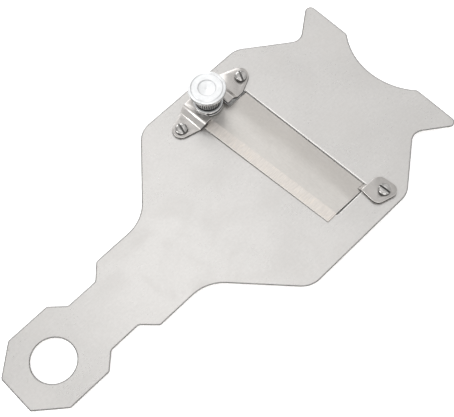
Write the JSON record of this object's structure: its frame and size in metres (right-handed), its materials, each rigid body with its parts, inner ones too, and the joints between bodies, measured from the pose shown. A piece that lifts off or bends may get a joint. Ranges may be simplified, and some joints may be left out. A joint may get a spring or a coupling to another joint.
{
  "type": "truffle slicer",
  "caption": "Flat stainless hand slicer with fish-tail horns, ring-ended grip and a spring blade over a slot, its cut set by a knurled knob on a bridge.",
  "frame": {"origin": "axis of the hanging hole, at the plate's underside", "axes": "+Y along the plate from the ring to the horns, +Z from the plate to the blade's and knob's side, +X towards the clamped ear"},
  "size_m": [0.0966, 0.2, 0.0187],
  "materials": {
    "plate_steel": "fine satin stainless sheet",
    "blade_steel": "ground spring steel with a bevelled edge",
    "bracket_steel": "bent satin stainless strip",
    "turned_steel": "turned stainless steel",
    "screw_steel": "bright stainless fasteners",
    "knob_aluminium": "bright turned and knurled aluminium"
  },
  "bodies": {
    "frame": {"body_plate": "plate_steel", "blade_ear": "blade_steel", "ear_spacer": "screw_steel", "bridge_bracket": "bracket_steel", "bridge_screw_front": "screw_steel", "bridge_screw_back": "screw_steel", "ear_screw": "screw_steel", "bridge_nut_front": "screw_steel", "bridge_nut_back": "screw_steel", "ear_nut": "screw_steel"},
    "blade": {"blade": "blade_steel", "blade_bush": "turned_steel"},
    "knob": {"adjusting_screw": "turned_steel", "adjusting_knob": "knob_aluminium"}
  },
  "joints": [
    {"name": "blade_lift", "type": "hinge", "parent": "frame", "child": "blade", "pos_m": [0.03255, 0.1329, 0.00046], "axis": [0, 1, 0], "range_deg": [-0.3, 0.34]},
    {"name": "knob_turn", "type": "hinge", "parent": "frame", "child": "knob", "pos_m": [-0.03685, 0.11635, 0.006], "axis": [0, 0, -1], "range_deg": [-180, 210]}
  ],
  "couplings": [
    {"joint": "blade_lift", "follows": "knob_turn", "ratio": 0.0016053}
  ]
}
